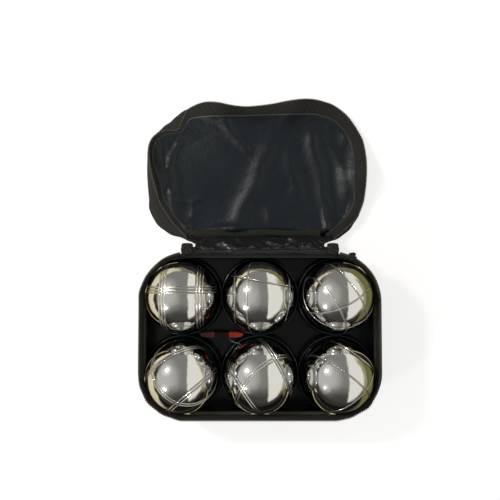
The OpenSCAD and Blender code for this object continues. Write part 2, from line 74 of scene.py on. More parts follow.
class Nodes:
    """Short calls for the nodes of one tree; each hands back its node's output, or all of them."""

    def __init__(self, tree):
        self.tree = tree

    def feed(self, socket, value):
        """Links another node's output to an input, or sets the input to a value."""
        if isinstance(value, bpy.types.NodeSocket):
            self.tree.links.new(value, socket)
        else:
            socket.default_value = value

    def add(self, kind, links=(), out=0, **settings):
        """A node: settings are its own values, links pairs of an input's name or number and what
        it gets."""
        made = self.tree.nodes.new("ShaderNode" + kind)
        for key, value in settings.items():
            setattr(made, key, value)
        for key, value in links:
            self.feed(made.inputs[key], value)
        return made.outputs if out is None else made.outputs[out]

    def place(self, out="Object"):
        return self.add("TexCoord", out=out)

    def noise(self, vector, scale, detail=2.0, distortion=0.0):
        links = [("Vector", vector), ("Scale", scale), ("Detail", detail), ("Distortion", distortion)]
        return self.add("TexNoise", links, "Fac")

    def wave(self, vector, scale, heading):
        return self.add("TexWave", [("Vector", vector), ("Scale", scale)], "Fac", bands_direction=heading)

    def ramp(self, value, span, to=(0.0, 1.0), smooth=False):
        """Takes a value from one span to another, held at its ends."""
        links = [("Value", value), ("From Min", span[0]), ("From Max", span[1])]
        links += [("To Min", to[0]), ("To Max", to[1])]
        step = "SMOOTHSTEP" if smooth else "LINEAR"
        return self.add("MapRange", links, "Result", interpolation_type=step)

    def blend(self, share, first, second):
        return self.add("Mix", [("Factor", share), (6, first), (7, second)], 2, data_type="RGBA")

    def maths(self, operation, *values):
        return self.add("Math", enumerate(values), operation=operation)

    def dot(self, first, second):
        return self.add("VectorMath", [(0, first), (1, second)], "Value", operation="DOT_PRODUCT")

    def scaled(self, colour, share):
        return self.add("VectorMath", [(0, colour), (1, share)], operation="MULTIPLY")

    def parts(self, vector):
        return self.add("SeparateXYZ", [("Vector", vector)], None)

    def bump(self, height, strength, depth, before=None, invert=False):
        """Relief, its depth in mm, on top of an earlier one where there is one."""
        links = [("Height", height), ("Strength", strength), ("Distance", depth * mm)]
        if before is not None:
            links.append(("Normal", before))
        return self.add("Bump", links, "Normal", invert=invert)


class Paint(Nodes):
    """A new material in the making."""

    def __init__(self, name):
        self.made = bpy.data.materials.new(name)
        self.made.use_nodes = True
        super().__init__(self.made.node_tree)

    def look(self, colour, rough, relief=None, others=()):
        """Gives the shader what it shows and hands back the finished material."""
        inputs = self.tree.nodes["Principled BSDF"].inputs
        for key, value in [("Base Color", colour), ("Roughness", rough), *dict(others).items()]:
            self.feed(inputs[key], value)
        if relief is not None:
            self.feed(inputs["Normal"], relief)
        return self.made


# Lines, grids and meshes
def run_of(points):
    """Length along a line of points, at each of them."""
    return np.r_[0.0, np.cumsum(np.linalg.norm(np.diff(points, axis=0), axis=1))]


def pairs(first, second):
    """UV from two arrays that are spread over one grid."""
    return np.stack(np.broadcast_arrays(first, second), -1)


def power(w, p):
    """sgn(w)|w|^p, which makes round blocks square with p under 1."""
    return np.sign(w) * np.abs(w) ** p


def catmull(a, b, c, d, f):
    """Catmull-Rom curve from b to c at the share f."""
    return b + 0.5 * f * (c - a + f * (2 * a - 5 * b + 4 * c - d + f * (3 * (b - c) + d - a)))


def rim_line(rim, count, inwards=0.0):
    """Points, outward normals and run of a rounded rectangle, evenly spaced from the middle of its
    back clockwise; each point is the outline's own moved inwards along its normal."""
    w, front, back, rf, rb = rim

    def bend(cx, cy, r, a0, a1):
        a = np.radians(np.linspace(a0, a1, 90))
        return np.c_[cx + r * np.cos(a), cy + r * np.sin(a), np.cos(a), np.sin(a)]

    start = [[0.0, back, 0.0, 1.0]]
    right = bend(w - rb, back - rb, rb, 90, 0), bend(w - rf, front + rf, rf, 0, -90)
    left = bend(rf - w, front + rf, rf, -90, -180), bend(rb - w, back - rb, rb, 180, 90)
    line = np.vstack([start, *right, *left, start])
    run = run_of(line[:, :2])
    s = np.linspace(0.0, run[-1], count, endpoint=False)
    x, y, nx, ny = (np.interp(s, run, line[:, k]) for k in range(4))
    normal = np.c_[nx, ny] / np.hypot(nx, ny)[:, None]
    return np.c_[x, y] - inwards * normal, normal, s


def grid_faces(rows, cols, round_rows=False, round_cols=False, turn=False):
    """Quads between neighbours of a rows by cols grid, joined round where told; turn flips them."""
    last_row, last_col = rows - (not round_rows), cols - (not round_cols)
    i, j = np.meshgrid(np.arange(last_row), np.arange(last_col), indexing="ij")
    a, b = i * cols + j, i * cols + (j + 1) % cols
    c, d = ((i + 1) % rows) * cols + (j + 1) % cols, ((i + 1) % rows) * cols + j
    quads = np.stack([a, b, c, d], -1).reshape(-1, 4)
    return quads[:, ::-1] if turn else quads


def piece(name, points, uv, faces, body, slot, nodes, finish):
    """A mesh of points and UV in mm. It rides on its body and takes the place of the CAD nodes it
    stands for."""
    mesh = bpy.data.meshes.new(name)
    mesh.from_pydata((points.reshape(-1, 3) * mm).tolist(), [], [list(f) for f in faces])
    mesh.validate()
    layer = mesh.uv_layers.new(name="UVMap")
    corner = np.zeros(len(mesh.loops), np.int32)
    mesh.loops.foreach_get("vertex_index", corner)
    layer.data.foreach_set("uv", (uv.reshape(-1, 2) * mm)[corner].astype(np.float32).ravel())
    mesh.polygons.foreach_set("use_smooth", np.ones(len(mesh.polygons), bool))
    mesh.materials.append(finish)
    mesh.update()
    made = linked(name, mesh)
    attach(made, body)
    if nodes:
        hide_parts(*nodes)
    return made


# Base of the case
# A shell of woven polyester pressed hot over foam, so it stands by itself but has no hard line
# anywhere: its side swells a little at mid height and leans in again under the zip.
# half width, front, back, corner radius at the front and at the back
base_rim = (121.0, -83.0, 83.0, 46.0, 50.0)
hinge_half = 74.0
notch_z = 39.2
fabric_hex = "#211f1c"
# the real threads are 0.4 mm apart, too fine for the picture
thread_mm = 2.4
# a wave texture repeats each 0.314 divided by its scale, or 0.44 divided by it across a slant
band, slant_band = 0.314 / mm, 0.44 / mm


def woven(name, code, thread, rough, depth, grid="UV"):
    """Plain weave on the cloth's own UV, or on its place where it lies flat: two square-on waves,
    one thread wide each, lift warp and weft in turn, and a slow noise varies the dye."""
    p = Paint(name)
    uv, spot = p.place(grid), p.place()
    threads = p.maths("MULTIPLY", p.wave(uv, band / thread, "X"), p.wave(uv, band / thread, "Y"))
    # Painted shade: each thread is drawn lighter where it rises and darker where it dips, on top of a random
    # dye.
    dye_and_shade = p.ramp(p.maths("ADD", p.noise(spot, 70.0, 4.0), threads), (0.3, 1.5))
    base = linear(code)
    relief = p.bump(p.maths("ADD", threads, p.noise(spot, 900.0)), 0.8, depth)
    sheen = {"Sheen Weight": 0.06, "Sheen Roughness": 0.4}
    return p.look(p.blend(dye_and_shade, tint(base, 0.4), tint(base, 1.6)), rough, relief, sheen)


case_cloth = woven("woven_polyester_case", fabric_hex, thread_mm, 0.78, 0.5)
panel_cloth = woven("woven_polyester_panel", fabric_hex, thread_mm, 0.78, 0.5, grid="Object")

# Levels of the wall as height and how far it stands inside the rim's outline: over the floor, up
# the outside, over the edge and down the inside.
foot = 5.0
foot_arc = [(foot * (1 - math.cos(a)), foot * (1 - math.sin(a))) for a in np.radians(range(15, 91, 15))]
floor_reach = 60.0
levels = np.array([
    (0.0, floor_reach), (0.0, 30.0), (0.0, 9.0), (0.0, foot + 0.6), *foot_arc,
    (9.0, 0.0), (16.0, -0.5), (24.0, -0.6), (32.0, -0.3), (38.0, 0.4), (42.0, 1.1), (45.0, 1.8),
    (46.6, 2.3), (47.0, 2.8), (46.8, 3.4), (45.0, 3.5), (40.0, 2.4), (32.0, 1.3), (20.0, 1.1),
    (9.0, 1.7), (5.0, 2.6), (2.6, 4.6), (1.7, 7.0), (1.6, 30.0), (1.6, floor_reach),
])
wall_count = 420


def base_slack(pts, normal):
    """Slow waves of under a millimetre round the wall, strongest half way up."""
    turn = np.arctan2(normal[:, 1], normal[:, 0])
    wave = 0.45 * np.sin(5 * turn + 0.7) + 0.3 * np.sin(11 * turn + 2.0)
    lift = np.sin(np.clip(pts[:, :, 2] / 47.0, 0, 1) * np.pi)
    pts[:, :, :2] += (wave * lift)[:, :, None] * normal
    return pts


# Closed shell: point (i, j) is the outline's point j moved inwards by level i's inset, and on the
# floor drawn to its middle. Where the hinge runs the wall is cut down.
line, normal, run = rim_line(base_rim, wall_count)
height, inset = levels.T[:, :, None]
pts = np.zeros((len(levels), wall_count, 3))
pts[:, :, :2] = line - inset[:, :, None] * normal
pts[:, :, 2] = height
on_floor = levels[:, 1] > 20
pts[on_floor, :, :2] = line * (1 - inset[on_floor, :, None] / floor_reach)
at_hinge = (np.abs(line[:, 0]) < hinge_half) & (normal[:, 1] > 0.98)
pts[:, at_hinge, 2] = np.minimum(pts[:, at_hinge, 2], notch_z)
pts = base_slack(pts, normal)
uv = pairs(run, run_of(levels)[:, None])
faces = grid_faces(len(levels), wall_count, round_cols=True)
base_wall = piece("base_wall", pts, uv, faces, "base", "case_fabric", ["base_shell"], case_cloth)


# Inside, the base has no lining: the cloth's foam backing shows, tan, between tray and tape. From
# above the tape hides it, and the boules mirror it as a thin light line along their outer edge.
def foam_backing():
    """Skinned foam: matt, with pores about 0.7 mm wide, and a faint glow of painted light."""
    p = Paint("foam_backing")
    spot = p.place()
    pores = p.add("TexVoronoi", [("Vector", spot), ("Scale", 1400.0)], "Distance")
    base = linear("#d9c9a2")
    colour = p.blend(p.noise(spot, 60.0, 3.0), tint(base, 0.8), base)
    # Painted light: the foam glows, standing in for the light that falls in over a real, softer wall.
    lifted = {"Emission Color": colour, "Emission Strength": 0.8}
    return p.look(colour, 0.85, p.bump(pores, 0.4, 0.2), lifted)


base_wall.data.materials.append(foam_backing())
base_wall.data.materials.append(panel_cloth)
inner_rows = (np.arange(len(levels) - 1) > np.argmax(levels[:, 0])) & (levels[:-1, 0] > 4)
backed = (np.abs(line[:, 0]) > hinge_half + 12) | (line[:, 1] < 0)
kind = np.outer(inner_rows, backed) + 2 * np.outer(np.arange(len(levels) - 1) < 3, backed >= 0)
base_wall.data.polygons.foreach_set("material_index", kind.ravel().astype(np.int32))

# Zip tape: a ribbed woven band, 8 mm of it showing, sewn inside the wall's edge. Open, it has
# nothing to hold it upright and flares outwards, so that its teeth are the case's outline. It ends
# chain_x to either side of the hinge's middle.
chain_x = 80.6
zip_top = 54.7
tape_profile = [
    (44.4, 3.0), (48.5, 3.1), (51.0, 2.1), (53.0, 1.0), (54.5, 0.3), (zip_top, 0.9), (53.2, 1.8),
    (51.0, 3.0), (48.5, 3.9), (44.4, 3.9),
]


def ribbed_tape(name, code):
    """Woven tape: ribs 2.6 mm apart along it and a slanted weft, both on its UV and both coarser
    than the real 0.5 mm, which the picture can't show."""
    p = Paint(name)
    uv, spot = p.place("UV"), p.place()
    relief = p.maths("ADD", p.wave(uv, band / 2.6, "X"), p.wave(uv, slant_band / 3.8, "DIAGONAL"))
    # Painted shade: the ribs are drawn darker in their hollows and lighter on their crests, on top of a
    # random dye.
    dye_and_shade = p.ramp(p.maths("ADD", relief, p.noise(spot, 260.0, 4.0)), (0.6, 2.4))
    base = linear(code)
    colour = p.blend(dye_and_shade, tint(base, 0.65), tint(base, 1.6))
    return p.look(colour, 0.75, p.bump(relief, 0.6, 0.25), {"Specular IOR Level": 0.3})


tape_cloth = ribbed_tape("woven_zip_tape", "#1b1a17")


def chain_line(rim, count, inwards=0.0):
    """Points, normals and run of the part of a rim's outline that the zip follows, from the right
    end of the hinge round the front to its left end."""
    line, normal, run = rim_line(rim, 4000, inwards)
    past_hinge = (np.abs(line[:, 0]) > chain_x) | (line[:, 1] < 0.5 * (rim[1] + rim[2]))
    at = np.flatnonzero((normal[:, 1] < 0.9999) & past_hinge)
    s = np.linspace(run[at[0]], run[at[-1]], count)
    x, y, nx, ny = (np.interp(s, run, v) for v in (*line.T, *normal.T))
    n = np.c_[nx, ny]
    return np.c_[x, y], n / np.linalg.norm(n, axis=1)[:, None], s - s[0]


def along_rim(name, profile, count, slack, slot, nodes, finish):
    """A band on the base: the closed profile of (height, inset) pairs carried along the zip's
    line, its two ends closed."""
    line, normal, run = chain_line(base_rim, count)
    prof = np.array(profile)
    m = len(prof)
    pts = np.zeros((m, count, 3))
    pts[:, :, :2] = line - prof[:, 1, None, None] * normal
    pts[:, :, 2] = prof[:, :1]
    pts = slack(pts, normal).transpose(1, 0, 2)
    faces = grid_faces(count, m, round_cols=True).tolist()
    faces += [list(range(m))[::-1], [(count - 1) * m + k for k in range(m)]]
    return piece(name, pts, pairs(run[:, None], run_of(prof)), faces, "base", slot, nodes, finish)


def rim_slack(pts, normal):
    """The open zip's waves: in and out by up to a millimetre, and the right side drawn in."""
    turn = np.arctan2(normal[:, 1], normal[:, 0])
    wave = 0.45 * np.sin(7 * turn + 0.4) + 0.3 * np.sin(15 * turn + 1.0)
    drawn = -1.6 * np.clip(normal[:, 0], 0, 1) ** 4
    # true to the rim round the corner that the slider runs
    slack = 1 - np.clip((turn - 0.3) / 0.25, 0, 1) * np.clip((1.75 - turn) / 0.1, 0, 1)
    lift = np.clip((pts[:, :, 2] - 40.0) / 15.0, 0, 1) * slack
    pts[:, :, :2] += ((wave + drawn) * lift)[:, :, None] * normal
    pts[:, :, 2] += lift * (0.5 * np.sin(9 * turn + 2.2))
    return pts


along_rim("base_tape", tape_profile, 520, rim_slack, "zip_tape", ["base_zip_tape"], tape_cloth)

# Zip teeth: nylon, moulded straight on the tape's corded edge, one each 2.4 mm.
tooth_step = 2.4


def nylon():
    """Moulded nylon: satin, with a fine grain of 0.7 mm."""
    p = Paint("moulded_nylon_teeth")
    spot, base = p.place(), linear("#57544b")
    colour = p.blend(p.noise(spot, 220.0), tint(base, 0.6), tint(base, 1.4))
    return p.look(colour, 0.42, p.bump(p.noise(spot, 1500.0), 0.4, 0.1))


tooth_nylon = nylon()


def teeth_at(name, line, normal, run, body, nodes, flip=False):
    """Blunt teeth: each a rounded block with x = a sgn(cos u)|cos u|^0.5 and so on, 8 by 5 points,
    turned to the rim's normal at its place, all worked out as one array."""
    count = len(line)
    u = np.linspace(0, 2 * np.pi, 8, endpoint=False)
    v = np.linspace(-0.5, 0.5, 5)[:, None] * np.pi
    along = 0.62 * power(np.cos(v), 0.5) * power(np.cos(u), 0.5)
    out = 1.05 * power(np.cos(v), 0.5) * power(np.sin(u), 0.5)
    up = 0.75 * power(np.sin(v), 0.7) * np.ones(8)
    tangent = np.c_[normal[:, 1], -normal[:, 0], np.zeros(count)]
    outward = np.c_[normal, np.zeros(count)]
    pts = line[:, None, None] + along[..., None] * tangent[:, None, None]
    pts = pts + out[..., None] * outward[:, None, None]
    pts[..., 2] += up
    if flip:
        pts[..., 1] *= -1
    block = grid_faces(5, 8, round_cols=True, turn=not flip)
    faces = (block[None] + 40 * np.arange(count)[:, None, None]).reshape(-1, 4)
    uv = pairs(run[:, None, None] + along, up)
    return piece(name, pts, uv, faces, body, "zip_teeth", nodes, tooth_nylon)


count = int(chain_line(base_rim, 9)[2][-1] / tooth_step)
line, normal, run = chain_line(base_rim, count, 0.45)
line = rim_slack(np.c_[line, np.full(count, zip_top)][None], normal)[0]
teeth_at("base_teeth", line, normal, run, "base", ["base_zip_teeth"])

# Piping: a cotton cord in a folded strip of the case's cloth, caught in the seam under the tape.
piping_cloth = woven("woven_piping_cover", "#2c2a25", 1.3, 0.8, 0.3)
turns = np.linspace(0, 2 * np.pi, 12, endpoint=False)
cord = np.c_[47.6 + 1.15 * np.sin(turns), -0.1 + 1.15 * np.cos(turns)][::-1]
along_rim("base_edge_piping", cord, 420, base_slack, "piping", ["base_piping"], piping_cloth)


# Tray
# One sheet of black polystyrene, heated and drawn over a mould: glossy, thin, every edge rounded,
# with the faint ripple that the drawing leaves.
def finish_node(node, finish):
    """Gives a CAD node that stays its material."""
    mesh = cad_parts[node].data
    mesh.materials.clear()
    mesh.materials.append(finish)


def formed_plastic():
    """Drawn sheet: gloss with a slow ripple 25 mm long and a dust of fine specks, with a painted
    highlight in grey on the ledge at 40 mm and on the cups' crests at 26 mm."""
    p = Paint("vacuum_formed_polystyrene")
    spot = p.place()
    z = p.parts(spot)["Z"]
    # Painted highlight: the ledge and the cups' crests are drawn lighter grey, as if they caught the light.
    ledge_highlight = p.ramp(z, (39.6 * mm, 40.1 * mm))
    crest_highlight = p.ramp(z, (25.9 * mm, 26.5 * mm))
    crest_highlight = p.maths("MULTIPLY", crest_highlight, p.ramp(z, (26.6 * mm, 26.9 * mm), (1.0, 0.0)))
    speck = p.ramp(p.noise(spot, 1400.0), (0.66, 0.78))
    colour = p.blend(speck, linear("#070d11"), linear("#3a4146"))
    colour = p.blend(crest_highlight, colour, linear("#1b2327"))
    colour = p.blend(ledge_highlight, colour, linear("#25292a"))
    gloss = p.ramp(p.noise(spot, 60.0, 5.0), (0.0, 1.0), (0.14, 0.3))
    ripple = p.bump(p.noise(spot, 40.0, 1.0), 0.5, 0.6)
    return p.look(colour, gloss, ripple, {"Specular IOR Level": 0.28})


finish_node("tray", formed_plastic())


# Stiffeners: grey board cut to the floor's outline, hidden under the tray and the lining.
def grey_board():
    """Pressed waste paper: matt, with fibre flecks about 2 mm long."""
    p = Paint("pressed_grey_board")
    base = linear("#6a5a48")
    return p.look(p.blend(p.noise(p.place(), 500.0, 4.0), tint(base, 0.7), tint(base, 1.3)), 0.9)


stiffener = grey_board()
finish_node("base_board", stiffener)

# Boules
# Two steel cups pressed, welded round the waist, turned true, engraved with lines on a lathe and
# chromed. Each set of lines is a group of level cuts square to one axis.
boule_r = 36.5
boule_z = 40.4
pitch = (79.6, 80.6)
row_y = -2.5
line_step = 2.7
# name: lines in a group, then heading and rise of each group's axis and its distance share
engraving = {
    "back_left": (3, [(180, 0, 0.42), (0, 0, 0.55), (90, 0, 0.22)]),
    "back_middle": (1, [(80, 0, 0.44), (180, -10, 0.2), (-5, -10, 0.65), (180, 0, 0.68)]),
    "back_right": (1, [(-148, 13, 0.44), (34, -12, 0.19), (116, 20, 0.15), (92, 65, 0.2)]),
    "front_left": (2, [(-50, 5, 0.48), (54, 49, 0.37), (123, -28, 0.27)]),
    "front_middle": (2, [(27, -11, 0.48), (-46, 33, 0.25), (-146, 0, 0.5)]),
    "front_right": (1, [(-127, 16, 0.03), (53, -9, 0.66), (-49, -18, 0.28)]),
}


def chromed_steel(name, centre, lines, groups):
    """Polished chrome: a cut is where the distance from its plane, the dot product of the place
    and the axis less the plane's own, is under half its width. The cuts are a little darker and rougher."""
    p = Paint(name)
    spot = p.place()
    cut = None
    for heading, rise, share in groups:
        h, r = math.radians(heading), math.radians(rise)
        axis = np.array([math.cos(r) * math.cos(h), math.cos(r) * math.sin(h), math.sin(r)])
        level = p.dot(spot, tuple(axis))
        for k in range(lines):
            away = (axis @ centre + share * boule_r + (k - (lines - 1) / 2) * line_step) * mm
            off = p.maths("ABSOLUTE", p.maths("SUBTRACT", level, float(away)))
            one = p.ramp(off, (0.25 * mm, 1.0 * mm), (1.0, 0.0), smooth=True)
            cut = one if cut is None else p.maths("MAXIMUM", cut, one)
    scuff = p.ramp(p.noise(spot, 700.0, 3.0), (0.35, 0.75), (0.045, 0.13))
    wavy = p.bump(p.noise(spot, 55.0, 1.0), 0.25, 0.15)
    wavy = p.bump(p.noise(spot, 260.0), 0.3, 0.07, before=wavy)
    wavy = p.bump(p.noise(spot, 130.0, 1.0), 0.3, 0.55, before=wavy)
    engraved = p.bump(cut, 1.0, 0.9, before=wavy, invert=True)
    colour = p.blend(cut, linear("#dadad7"), linear("#cfcdc6"))
    return p.look(colour, p.maths("MULTIPLY_ADD", cut, 0.25, scuff), engraved, {"Metallic": 1.0})


def boule(name, centre, finish):
    """A ball of six square grids: each point of a cube's face, spread by tan so that its squares
    come out even, is drawn in to the radius along the line to the middle."""
    n = 65
    t = np.tan(np.linspace(-1, 1, n) * math.pi / 4)
    a, b = np.meshgrid(t, t, indexing="ij")
    one = np.ones_like(a)
    sides = [(one, a, b), (-one, b, a), (b, one, a), (a, -one, b), (a, b, one), (b, a, -one)]
    pts = np.concatenate([np.stack(v, -1).reshape(-1, 3) for v in sides])
    unit = pts / np.linalg.norm(pts, axis=1)[:, None]
    unique, back = np.unique(np.round(unit, 6), axis=0, return_inverse=True)
    faces = (grid_faces(n, n)[None] + n * n * np.arange(6)[:, None, None]).reshape(-1, 4)
    faces = back.ravel()[faces][:, ::-1]
    uv = np.c_[np.arctan2(unique[:, 1], unique[:, 0]), np.arcsin(np.clip(unique[:, 2], -1, 1))] * boule_r
    size = np.linalg.norm(unique, axis=1)[:, None]
    nodes = ["shell_top_" + name, "shell_bottom_" + name, "core_" + name]
    body = "boule_" + name
    made = piece(body, centre + boule_r * unique / size, uv, faces, body, "boule_chrome", nodes, finish)
    made.data.normals_split_custom_set_from_vertices((unique / size).tolist())


for k, (name, (lines, groups)) in enumerate(engraving.items()):
    centre = np.array([(k % 3 - 1) * pitch[0], row_y + (0.5 if k < 3 else -0.5) * pitch[1], boule_z])
    boule(name, centre, chromed_steel("chromed_steel_" + name, centre, lines, groups))

# Lid of the case
# The same pressed shell as the base but shallow, thrown back on the floor. Without its zip it
# slumps: the far left corner is pushed in, the left wall leans in over the lining so that its
# outside shows, and the right and far tapes fall outwards.
lid_rim = (118.5, -248.1, -87.1, 45.0, 54.0)
# How far out, in mm, the slumped lid stands from the rim's outline, at 48 even steps of it from
# the middle of the hinge round by the right: the wall's widest, the lining's edge and the teeth.
slump = np.reshape([
    -6, -6, -6, -6, -6, -7, -7.5, -8.5, -8, -8, -8, -7, -7, -7, -9, -11.5, -13, -12.5, -9, -5.5, -1,
    -0.5, -2, -4, -6, -7, -5, -3.5, -3, -5.5, -9.5, -11.5, -10, -4.5, 2.5, 3.5, 3.5, 2.5, 1, 0.5, -1.5,
    -5.5, -8.5, -8, -7, -6, -6, -6,
    -15.5, -16, -16, -16.5, -16.5, -16, -17.5, -19, -18.5, -17, -15.5, -15, -15, -15.5, -18, -21.5, -22,
    -22.5, -20, -17.5, -13.5, -13.5, -13.5, -14, -14.5, -15, -15, -15.5, -16, -18.5, -25.5, -29, -26,
    -14, -3.5, -2.5, -7, -11, -15, -19.5, -20.5, -20, -16.5, -14, -15, -15, -15, -15.5,
    -8, -8, -8, -8, -8, -7, -10.5, -12, -10.5, -10, -8, -6, -5, -5.5, -8, -12, -13.5, -12.5, -10, -5.5,
    -1.5, -1, -3, -6, -8, -9, -7.5, -4.5, -4.5, -10.5, -21, -26.5, -25.5, -10.5, -1.5, -1, -3.5, -7.5,
    -11.5, -15, -16.5, -16, -13.5, -8, -8.5, -8.5, -8.5, -8.5,
], (3, 48))


def out_at(share, table):
    """A table's value at shares 0 to 1 of the way round."""
    n = len(table)
    t = (np.asarray(share) % 1.0) * n
    i = np.floor(t).astype(int)
    return catmull(*(table[(i + k) % n] for k in (-1, 0, 1, 2)), t - i)


boule_room = boule_r + 0.5
# closed, a place (x, y, z) of the open lid is at (x, closed_y - y, closed_z - z)
closed_y, closed_z = 167.6, 81.6


def room_over(x, y):
    """Greatest height at a place of the open lid that clears the boules when it is closed."""
    near = np.full(np.broadcast(x, y).shape, 1e9)
    for cx in (-pitch[0], 0.0, pitch[0]):
        for cy in (row_y - 0.5 * pitch[1], row_y + 0.5 * pitch[1]):
            near = np.minimum(near, (x - cx) ** 2 + (closed_y - y - cy) ** 2)
    return closed_z - boule_z - np.sqrt(np.maximum(boule_room**2 - near, 0.0))


def lid_places(share, inset, mix):
    """Places of the slumped lid's stations for one inset and one mix of the three outlines."""
    line, normal, _ = rim_line(lid_rim, 960)
    at = np.arange(961) / 960
    x, y, nx, ny = (np.interp(share, at, np.r_[v, v[0]]) for v in (*line.T, *normal.T))
    out = sum(out_at(share, table) * m for table, m in zip(slump, mix)) - inset
    return x + out * nx, -(y + out * ny)


# A wall that leans in also sinks: how much of its height is left, at 240 stations round the lid.
# It sinks far enough to clear the boules when the lid closes over them.
stations = np.arange(240) / 240
sunk = np.ones(240)
floor_top = 3.0
outlines = (25.6, -0.6, 0, 0, 1), (23.0, 0.9, 0, 0.3, 0.7), (18.4, 1.8, 0, 1, 0), (12.0, 1.8, 0.8, 0.2, 0)
for height, inset, *mix in outlines:
    room = room_over(*lid_places(stations, inset, mix))
    sunk = np.minimum(sunk, (room - floor_top) / (height - floor_top))
spread = np.exp(-((np.arange(-9, 10) / 4.0) ** 2))
lowest = np.min([np.roll(sunk, k) for k in range(-5, 6)], axis=0)
sunk = sum(np.roll(lowest, k) * q for k, q in zip(range(-9, 10), spread / spread.sum()))


def left_of(share):
    """Share of its height that the wall keeps at a share of the way round."""
    return np.interp(np.asarray(share) % 1.0, np.r_[stations, 1.0], np.r_[sunk, sunk[0]])


def lid_band(profile, count, whole=False):
    """A profile of (height, inset, wall share, lining share, teeth share) carried round the lid,
    or along its zip: each point moves by its own mix of the three outlines. Y is turned over here,
    so that it starts at the hinge as the base's does."""
    if whole:
        line, normal, run = rim_line(lid_rim, count)
        share = np.arange(count) / count
    else:
        line, normal, run = chain_line(lid_rim, count)
        first = 0.5 * (1 - run[-1] / (rim_line(lid_rim, 4000)[2][-1] * 4000 / 3999))
        share = first + (1 - 2 * first) * np.linspace(0, 1, count)
    prof = np.array(profile, float)
    move = sum(np.outer(out_at(share, table), prof[:, 2 + k]) for k, table in enumerate(slump))
    pts = np.zeros((count, len(prof), 3))
    pts[:, :, :2] = line[:, None] + (move - prof[:, 1])[:, :, None] * normal[:, None]
    pts[:, :, 2] = prof[:, 0]
    # each point sinks along the camera's line of sight, so that it keeps its place in the picture
    eye = np.array([-10.1, -62.7, 599.5])
    fall = np.maximum(prof[:, 0] - floor_top, 0.0) * (1 - left_of(share)[:, None]) / (eye[2] - prof[:, 0])
    return pts + (pts - eye) * fall[:, :, None], normal, run, share


def close_band(name, pts, run, slot, nodes, finish, ring=False):
    """Puts a lid band's points into a mesh, Y turned back: a ring joined round the lid, or a closed
    profile along the zip with its ends closed."""
    count, m = pts.shape[:2]
    pts = pts * np.array([1.0, -1.0, 1.0])
    faces = grid_faces(count, m, round_rows=ring, round_cols=not ring, turn=True).tolist()
    if not ring:
        faces += [list(range(m)), [(count - 1) * m + k for k in range(m)][::-1]]
    return piece(name, pts, pairs(run[:, None], run_of(pts[0])), faces, "lid", slot, nodes, finish)


# Wall: (height, inset, wall share, lining share, teeth share)
lid_profile = [
    (0, 9, 1, 0, 0), (0, 5.6, 1, 0, 0), *[(*step, 1, 0, 0) for step in foot_arc],
    (9, -0.2, 1, 0, 0), (12, 0.3, 0.85, 0.15, 0), (14.2, 0.2, 0.6, 0.4, 0), (15.8, -0.4, 0.3, 0.7, 0),
    (16.8, -0.6, 0.1, 0.9, 0), (17.2, 0.1, 0, 1, 0), (16.9, 0.8, 0, 1, 0), (15.4, 0.9, 0.1, 0.9, 0),
    (13.4, 1.2, 0.4, 0.6, 0), (10.5, 1.9, 0.85, 0.15, 0), (6, 2.4, 1, 0, 0), (2.6, 4.8, 1, 0, 0),
    (1.7, 8, 1, 0, 0),
]
pts, normal, run, _ = lid_band(lid_profile, wall_count, whole=True)
# two more rings under the floor and two over it, half way in and at its middle
middle = np.array([0.0, -closed_y])
rings = []
for edge, share, height in ((0, 0.0, 0.0), (0, 0.5, 0.0), (-1, 0.5, 1.6), (-1, 0.0, 1.6)):
    drawn = middle + (pts[:, edge, :2] - middle) * share
    rings.append(np.c_[drawn, np.full(wall_count, height)][:, None])
pts = np.concatenate([*rings[:2], pts, *rings[2:]], 1)
at_hinge = (np.abs(pts[:, :, 0]) < hinge_half) & (normal[:, None, 1] > 0.98)
pts[:, :, 2] = np.where(at_hinge, np.minimum(pts[:, :, 2], 1.7), pts[:, :, 2])
turn = np.arctan2(normal[:, 1], normal[:, 0])
sway = 0.5 * np.sin(9 * turn) + 0.35 * np.sin(17 * turn + 1)
sway = sway[:, None] * np.sin(np.clip(pts[:, :, 2] / 17, 0, 1) * np.pi)
pts[:, :, :2] += sway[:, :, None] * normal[:, None]
lid_wall = close_band("lid_wall", pts, run, "case_fabric", ["lid_shell"], case_cloth, ring=True)
lid_wall.data.materials.append(panel_cloth)
on_panel = np.tile(np.arange(pts.shape[1] - 1) < 3, wall_count)
lid_wall.data.polygons.foreach_set("material_index", on_panel.astype(np.int32))

# The lid's board has crumpled with its corner: its edge stays inside the slumped wall's foot.
rim, _, run, _ = lid_band([(1.7, 13.0, 1, 0, 0)], 240, whole=True)
rim = rim[:, 0]
heart = np.broadcast_to(np.array([*middle, 1.7]), rim.shape)
up = np.array([0.0, 0.0, 0.9])
card = np.stack([heart, rim, rim + up, heart + up], 1)
close_band("lid_board_card", card, run, "stiffener_board", ["lid_board"], stiffener, ring=True)

# Tape, teeth and piping of the lid, made as the base's are.
lid_tape_profile = [
    (15.6, 1.0, 0, 1, 0), (17.6, 0.6, 0, 0.92, 0.08), (20.0, 0.3, 0, 0.62, 0.38),
    (22.4, 0.1, 0, 0.3, 0.7), (24.4, -0.1, 0, 0, 1), (24.9, 0.7, 0, 0, 1), (23.1, 1.0, 0, 0.3, 0.7),
    (20.9, 1.1, 0, 0.62, 0.38), (18.2, 1.5, 0, 0.92, 0.08), (15.8, 1.9, 0, 1, 0),
]
pts, _, run, _ = lid_band(lid_tape_profile, 560)
close_band("lid_tape", pts, run, "zip_tape", ["lid_zip_tape"], tape_cloth)

pts, normal, _, _ = lid_band([(24.8, 0.3, 0, 0, 1)], 3000)
line = pts[:, 0]
step = np.gradient(line[:, :2], axis=0)
out = np.c_[-step[:, 1], step[:, 0]]
out /= np.linalg.norm(out, axis=1)[:, None]
out *= np.sign(np.sum(out * normal, axis=1))[:, None]
length = run_of(line)
spots = np.linspace(0, length[-1], int(length[-1] / tooth_step))
line, out = (np.stack([np.interp(spots, length, v) for v in old.T], -1) for old in (line, out))
teeth_at("lid_teeth", line, out, spots, "lid", ["lid_zip_teeth"], True)

